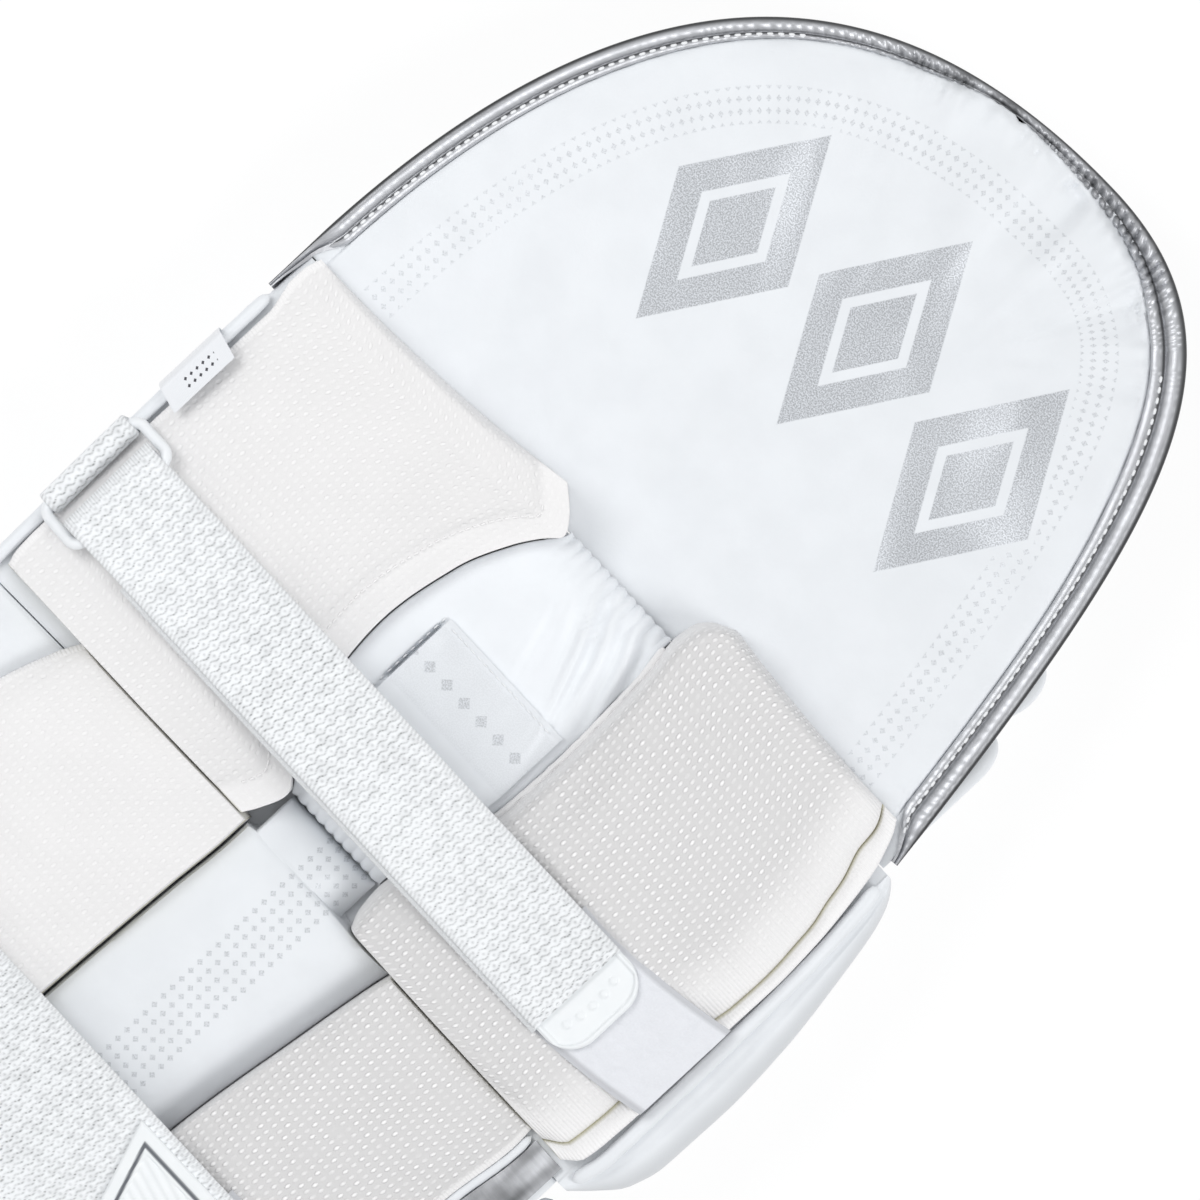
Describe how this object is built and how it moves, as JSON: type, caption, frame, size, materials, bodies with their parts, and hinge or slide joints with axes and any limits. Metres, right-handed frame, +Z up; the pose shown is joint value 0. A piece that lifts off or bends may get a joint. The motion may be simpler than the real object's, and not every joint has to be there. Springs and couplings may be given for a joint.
{
  "type": "batting pad",
  "caption": "Padded leg guard for cricket batting, with a bound flap above the knee, mesh bolsters beside a gathered knee cup and a shin panel, a ribbed front and webbing straps.",
  "frame": {"origin": "the middle of the pad's underside, as it lies on its front face", "axes": "+X across the pad to its winged side, +Y along the leg to the top of the flap, +Z up to the leg side"},
  "size_m": [0.2937, 0.6992, 0.0687],
  "materials": {
    "white_leather": "white coated leather with a fine grain, soft sheen",
    "cream_mesh": "cream spacer mesh with small staggered dimples, matt",
    "silver_leather": "metallic silver coated leather, finely crinkled",
    "white_webbing": "bright white woven webbing, matt",
    "white_plastic": "moulded white plastic, half gloss",
    "clear_rubber": "milky soft rubber, half clear",
    "loop_pile": "fuzzy loop pile of a hook and loop fastener",
    "white_satin": "white satin ribbon"
  },
  "bodies": {
    "root": {"flap": "white_leather", "flap_binding": "silver_leather", "knee_roll_lower": "white_leather", "knee_roll_upper": "white_leather", "knee_face": "white_leather", "shin_face": "white_leather", "edge_piping_left": "white_leather", "edge_band_right": "white_leather", "shin_binding": "silver_leather", "knee_bolster_left": "cream_mesh", "knee_bolster_right": "cream_mesh", "shin_bolster_left": "cream_mesh", "shin_bolster_right": "cream_mesh", "knee_cup": "white_leather", "knee_patch": "white_leather", "shin_panel": "white_leather", "side_lining": "silver_leather", "side_label": "white_satin", "knee_strap": "white_webbing", "knee_ring": "white_plastic", "knee_tab": "white_webbing", "knee_loop_patch": "loop_pile", "knee_strap_tip": "clear_rubber", "calf_strap": "white_webbing", "calf_ring": "white_plastic", "calf_tab": "white_webbing", "calf_loop_patch": "loop_pile", "calf_strap_tip": "clear_rubber", "calf_badge": "clear_rubber", "ankle_strap": "white_webbing", "ankle_ring": "white_plastic", "ankle_tab": "white_webbing", "ankle_loop_patch": "loop_pile", "ankle_strap_tip": "clear_rubber"}
  },
  "joints": []
}
